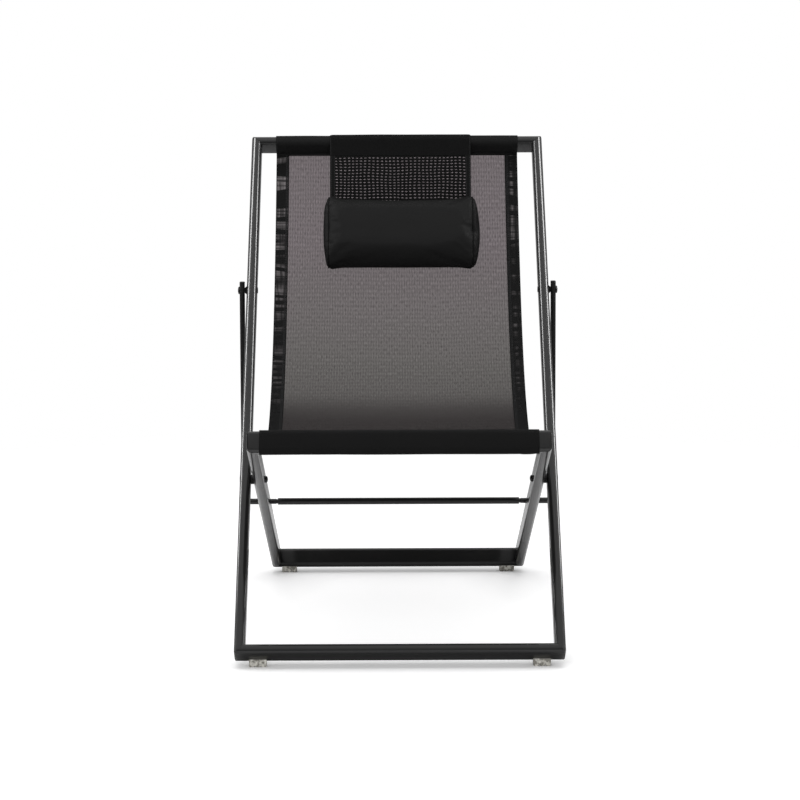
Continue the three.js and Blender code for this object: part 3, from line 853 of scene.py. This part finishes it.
def pillow_start():
    """The pillow's shape before it swells: rings of points from one end to the other."""
    middle, out_way, up_way = pillow_frame()
    half = PILLOW_WIDTH / 2
    vertices, uvs = [], []
    for i in range(PILLOW_ROWS + 1):
        t = math.sin((i / PILLOW_ROWS - 0.5) * math.pi)
        side = math.copysign(1, t)
        bulge = END_BULGE[int(side)]
        x = t * (half + bulge)
        past = max(0.0, abs(x) - half) / bulge
        full = END_FULL[int(side)]
        size = max(0.0, 1 - past**full) ** (1 / full) * SLACK_SIZE
        for j in range(PILLOW_COLUMNS):
            out, up = pillow_profile(j / PILLOW_COLUMNS * 2 * math.pi)
            point = middle + Vector((x, 0, 0)) + out_way * out * size + up_way * up * size
            vertices.append(point)
            uvs.append((x, j / PILLOW_COLUMNS))
    faces = ring_faces(PILLOW_ROWS + 1, PILLOW_COLUMNS)
    return mesh_object("head_pillow", vertices, faces, uvs, PILLOW)


def apply_modifiers(obj):
    """Bake the object's modifiers into its mesh."""
    graph = bpy.context.evaluated_depsgraph_get()
    baked = bpy.data.meshes.new_from_object(obj.evaluated_get(graph))
    obj.modifiers.clear()
    obj.data = baked


def swell(obj, pressure, cap, held):
    """Fill a closed cloth shape with air for a moment. No point moves further than the cap."""
    start = np.array([vertex.co[:] for vertex in obj.data.vertices])
    group = obj.vertex_groups.new(name="held")
    group.add([i for i, point in enumerate(start) if held(Vector(point))], 1.0, "REPLACE")
    cloth = obj.modifiers.new("swell", "CLOTH")
    settings = cloth.settings
    settings.quality = 6
    settings.mass = 0.2
    settings.tension_stiffness = 18
    settings.compression_stiffness = 18
    settings.bending_stiffness = 0.4
    settings.use_pressure = True
    settings.uniform_pressure_force = pressure
    settings.vertex_group_mass = group.name
    settings.effector_weights.gravity = 0
    scene = bpy.context.scene
    for step in range(1, SWELL_FRAMES + 1):
        scene.frame_set(step)
    graph = bpy.context.evaluated_depsgraph_get()
    swelled = np.array([vertex.co[:] for vertex in obj.evaluated_get(graph).data.vertices])
    obj.modifiers.clear()
    scene.frame_set(1)
    move = swelled - start
    far = np.linalg.norm(move, axis=1, keepdims=True)
    move *= np.minimum(1.0, cap / np.maximum(far, 1e-9))
    obj.data.vertices.foreach_set("co", (start + move).ravel())
    obj.vertex_groups.clear()
    obj.data.update()


def pillow_finish(obj):
    """Draw the cover in at the seams of both ends, pucker it there and let its top edge sag."""
    middle, out_way, up_way = pillow_frame()
    half = PILLOW_WIDTH / 2
    for vertex in obj.data.vertices:
        local = vertex.co - middle
        x, out, up = local.x, local.dot(out_way), local.dot(up_way)
        turn = math.atan2(up / PILLOW_HIGH, out / PILLOW_FRONT)
        radial = (out_way * out + up_way * up).normalized()
        from_seam = half - abs(x)
        drawn = SEAM_DRAW * math.exp(-((from_seam / SEAM_WIDTH) ** 2))
        near = math.exp(-max(0.0, from_seam) / PUCKER_REACH) if from_seam > -0.002 else 0.0
        pucker = PUCKER * near * noise.noise((turn * 7 + (3 if x > 0 else 0), x * 10, 1.0))
        roll = ROLL * noise.noise((x * 7, up * 26, 5.0))
        vertex.co += radial * (pucker + roll - drawn)
        high = max(0.0, up / (PILLOW_HIGH / 2)) ** 3
        low = max(0.0, -up / (PILLOW_HIGH / 2)) ** 3
        ear = math.exp(-(((from_seam - EAR_PLACE) / EAR_WIDTH) ** 2))
        vertex.co += up_way * ear * (EAR_ABOVE * high - EAR_BELOW * low)
        sag = TOP_SAG * high * math.cos(math.pi * x / PILLOW_WIDTH)
        vertex.co -= up_way * max(0.0, sag)
    obj.data.update()


def pillow():
    made = pillow_start()
    remesh = made.modifiers.new("even", "REMESH")
    remesh.mode = "VOXEL"
    remesh.voxel_size = VOXEL
    apply_modifiers(made)
    middle, out_way, _ = pillow_frame()

    def on_sling(point):
        return (point - middle).dot(out_way) < -PILLOW_BACK * 0.7

    swell(made, SWELL_PRESSURE, SWELL_CAP, on_sling)
    made.modifiers.new("finer", "SUBSURF").levels = 1
    apply_modifiers(made)
    pillow_finish(made)
    shade_smooth(made.data)
    made.data.materials.clear()
    made.data.materials.append(PILLOW)
    return made


def piping(name, cushion, side):
    """A thin cord sewn round one end of the pillow, laid on its surface."""
    middle, out_way, up_way = pillow_frame()
    tree = BVHTree.FromPolygons(
        [vertex.co for vertex in cushion.data.vertices],
        [tuple(polygon.vertices) for polygon in cushion.data.polygons],
    )
    centre = middle + Vector((side * PILLOW_WIDTH / 2, 0, 0)) + out_way * PIPING_AHEAD
    vertices, uvs = [], []
    for i in range(PIPING_STEPS):
        turn = 2 * math.pi * i / PIPING_STEPS
        way = out_way * math.cos(turn) + up_way * math.sin(turn)
        hit = tree.ray_cast(centre + way * PIPING_REACH, -way)[0]
        core = hit + way * PIPING_RADIUS * 0.5
        for j in range(PIPING_SIDES):
            around = 2 * math.pi * j / PIPING_SIDES
            out = way * math.cos(around) + Vector((1, 0, 0)) * math.sin(around)
            vertices.append(core + out * PIPING_RADIUS)
            uvs.append((around * PIPING_RADIUS, turn * PIPING_TURN))
    faces = ring_faces(PIPING_STEPS, PIPING_SIDES, closed=True)
    return mesh_object(name, vertices, faces, uvs, PIPING)


# Frame pieces of the CAD keep their shape and get a finish and smooth faces

FINISH = {
    "back_": COAT,
    "seat_": COAT,
    "prop_arm": COAT,
    "prop_crossbar": COAT,
    "pivot_bolt": BOLT,
    "pivot_cap": BOLT,
    "prop_bolt": BOLT,
    "prop_nut": BOLT,
    "pivot_spacer": NYLON,
    "pivot_bush": NYLON,
    "prop_spacer": NYLON,
    "prop_top_cap": NYLON,
    "prop_low_cap": NYLON,
    "rack": NYLON,
    "foot": CLEAR,
}


def smooth_faces():
    """Node group that joins split points and shades faces smooth, but for sharp edges."""
    group = bpy.data.node_groups.new("smooth_faces", "GeometryNodeTree")
    group.interface.new_socket("Geometry", in_out="INPUT", socket_type="NodeSocketGeometry")
    group.interface.new_socket("Geometry", in_out="OUTPUT", socket_type="NodeSocketGeometry")
    nodes = Nodes(group)
    merged = nodes.node("GeometryNodeMergeByDistance", Distance=JOIN_DISTANCE)
    nodes.set(merged.inputs["Geometry"], nodes.node("NodeGroupInput").outputs[0])
    angle = nodes.node("GeometryNodeInputMeshEdgeAngle").outputs["Unsigned Angle"]
    sharp = nodes.node("FunctionNodeCompare", data_type="FLOAT", operation="GREATER_THAN")
    nodes.set(sharp.inputs[0], angle)
    sharp.inputs[1].default_value = SHARP_ANGLE
    smooth = nodes.node("GeometryNodeSetShadeSmooth", domain="FACE")
    nodes.set(smooth.inputs["Geometry"], merged.outputs[0])
    normals = nodes.node("GeometryNodeSetMeshNormal", mode="SHARPNESS")
    normals.inputs["Remove Custom"].default_value = True
    nodes.set(normals.inputs["Mesh"], smooth.outputs[0])
    nodes.set(normals.inputs["Edge Sharpness"], sharp.outputs[0])
    nodes.set(nodes.node("NodeGroupOutput").inputs[0], normals.outputs[0])
    return group


def finish_nodes():
    """Give each node of the frame the finish that its name starts with."""
    group = smooth_faces()
    for name, node in frame["nodes"].items():
        for start, material in FINISH.items():
            if name.startswith(start):
                node.data.materials.clear()
                node.data.materials.append(material)
                node.modifiers.new("smooth", "NODES").node_group = group


def soft_pieces():
    """Build the cloth pieces, hide the CAD nodes they stand for, and hang some on the bodies they
    ride on.
    """
    panel = sling_panel()
    hem_left = sling_hem("sling_edge_left", -1, HEM_LEFT)
    hem_right = sling_hem("sling_edge_right", 1, HEM_RIGHT)
    top_tail = (-TUCK, 0.0)
    front_tail = (SLING_LENGTH, SLING_LENGTH + TUCK)
    top = sleeve("top_sleeve", TOP_RAIL, TOP_LEAN, top_tail, TOP_TRIM_PAINTED_LIGHTER)
    front = sleeve("front_sleeve", FRONT_RAIL, FRONT_LEAN, front_tail, TRIM)
    half = STRAP_WIDTH / 2
    open_half = half - BINDING
    below = (BAND_END, NET_END)
    band = strap_strip("strap_band", (-half, half), (0.0, BAND_END), BAND, BAND_GRID)
    net = strap_strip("strap_net", (-open_half, open_half), below, NET, NET_GRID, NET_THICK)
    edge_left = strap_strip("strap_edge_left", (-half, -open_half), below, EDGE, EDGE_GRID)
    edge_right = strap_strip("strap_edge_right", (open_half, half), below, EDGE, EDGE_GRID)
    cushion = pillow()
    cords = [piping("pillow_piping_left", cushion, -1), piping("pillow_piping_right", cushion, 1)]
    stands_for = (
        (panel, "sling_panel", "sling_mesh"),
        (hem_left, "sling_hem_left", "sling_trim"),
        (hem_right, "sling_hem_right", "sling_trim"),
        (top, "sling_top_sleeve", "sling_trim"),
        (front, "sling_front_sleeve", "sling_trim"),
        (band, "headrest_strap", "strap_band"),
        (net, "headrest_mesh", "strap_mesh"),
        (edge_left, "headrest_binding_left", "strap_band"),
        (edge_right, "headrest_binding_right", "strap_band"),
        (cushion, "pillow", "pillow_cover"),
    )
    for piece, node, slot in stands_for:
        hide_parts(node)
    for piece, body in ((top, "back_frame"), (band, "back_frame"), (front, "seat_frame")):
        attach(piece, body)
    for piece in [panel, hem_left, hem_right, net, edge_left, edge_right, cushion] + cords:
        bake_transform(piece)


# Studio


def floor_paper():
    """White paper, lit up for the camera, with a shade near the chair painted into that glow and into
    what gloss mirrors.
    """
    paint = Paint("floor_paper", 0.8, 0.05)
    paper = paint.mix(paint.noise(2.0, 2), grey(0.87), grey(0.90))
    # Painted shade: occlusion darkens the floor's glow and its mirrored colour near the chair
    near = paint.node("ShaderNodeAmbientOcclusion", Distance=PAINTED_SHADE_REACH, samples=8)
    shade = paint.math("POWER", near.outputs["AO"], PAINTED_SHADE_POWER)
    rays = paint.node("ShaderNodeLightPath").outputs
    seen = rays["Is Camera Ray"]
    dark = paint.math("MULTIPLY", rays["Is Glossy Ray"], paint.math("SUBTRACT", 1.0, shade))
    paint.put("Base Color", paint.mix(dark, paper, grey(PAINTED_MIRRORED_SHADE)))
    paint.put("Emission Color", WHITE)
    lit = paint.math("MULTIPLY", seen, shade)
    paint.put("Emission Strength", paint.math("MULTIPLY", lit, FLOOR_GLOW))
    away = paint.node("ShaderNodeVectorMath", operation="LENGTH")
    paint.set(away.inputs[0], paint.place())
    share = paint.math("DIVIDE", away.outputs["Value"], FLOOR_RADIUS)
    paint.see_through(paint.ramp(share, FLOOR_FADE))
    return paint.material


def floor():
    """A pale round floor that fades out before its edge."""
    mesh = bpy.data.meshes.new("floor")
    turns = [2 * math.pi * i / FLOOR_SIDES for i in range(FLOOR_SIDES)]
    ring = [(math.cos(turn) * FLOOR_RADIUS, math.sin(turn) * FLOOR_RADIUS, 0) for turn in turns]
    mesh.from_pydata(ring, [], [tuple(range(FLOOR_SIDES))])
    mesh.materials.append(floor_paper())
    made = bpy.data.objects.new("floor", mesh)
    bpy.context.scene.collection.objects.link(made)


def world():
    """White behind the chair, an even grey light on it, and a studio that gloss mirrors."""
    scene = bpy.context.scene
    scene.world = bpy.data.worlds.new("studio")
    scene.world.use_nodes = True
    nodes = Nodes(scene.world.node_tree)
    _, y, z = nodes.split(nodes.node("ShaderNodeTexCoord").outputs["Generated"])
    lean = nodes.math("MULTIPLY_ADD", y, 0.15, nodes.math("MULTIPLY", z, 0.9))
    level = nodes.math("MULTIPLY_ADD", lean, 0.5, 0.5)
    mirrored = nodes.ramp(level, STUDIO_MIRRORED)
    rays = nodes.node("ShaderNodeLightPath").outputs
    lit = nodes.mix(rays["Is Glossy Ray"], STUDIO_LIGHT, mirrored)
    seen = nodes.math("MAXIMUM", rays["Is Camera Ray"], rays["Is Transmission Ray"])
    background = scene.world.node_tree.nodes["Background"]
    nodes.set(background.inputs["Color"], nodes.mix(seen, lit, WHITE))


def soft_light(name, place, target, size, power, mirrored=False):
    """A lamp that lights the surfaces, or one that only shows as a reflection on them."""
    data = bpy.data.lights.new(name, "AREA")
    data.shape = "RECTANGLE"
    data.size, data.size_y = size
    data.energy = power
    made = bpy.data.objects.new(name, data)
    made.location = place
    made.rotation_euler = (Vector(target) - Vector(place)).to_track_quat("-Z", "Y").to_euler()
    made.visible_camera = False
    made.visible_diffuse = not mirrored
    made.visible_glossy = mirrored
    bpy.context.scene.collection.objects.link(made)


def camera():
    """Camera of the photograph."""
    data = bpy.data.cameras.new("camera")
    data.lens = LENS
    data.sensor_width = SENSOR
    data.dof.use_dof = False
    data.clip_end = 100
    made = bpy.data.objects.new("camera", data)
    turn = Matrix.Rotation(math.radians(-CAMERA_TURN), 4, "Z")
    tilt = Matrix.Rotation(math.radians(90 - CAMERA_DOWN), 4, "X")
    roll = Matrix.Rotation(math.radians(CAMERA_ROLL), 4, "Z")
    made.matrix_world = Matrix.Translation(CAMERA_PLACE) @ turn @ tilt @ roll
    bpy.context.scene.collection.objects.link(made)
    bpy.context.scene.camera = made


camera()
finish_nodes()
soft_pieces()
floor()
world()
for lamp in LAMPS:
    soft_light(*lamp)
for lamp in STRIPS:
    soft_light(*lamp, mirrored=True)
bpy.context.scene.view_settings.view_transform = "Standard"
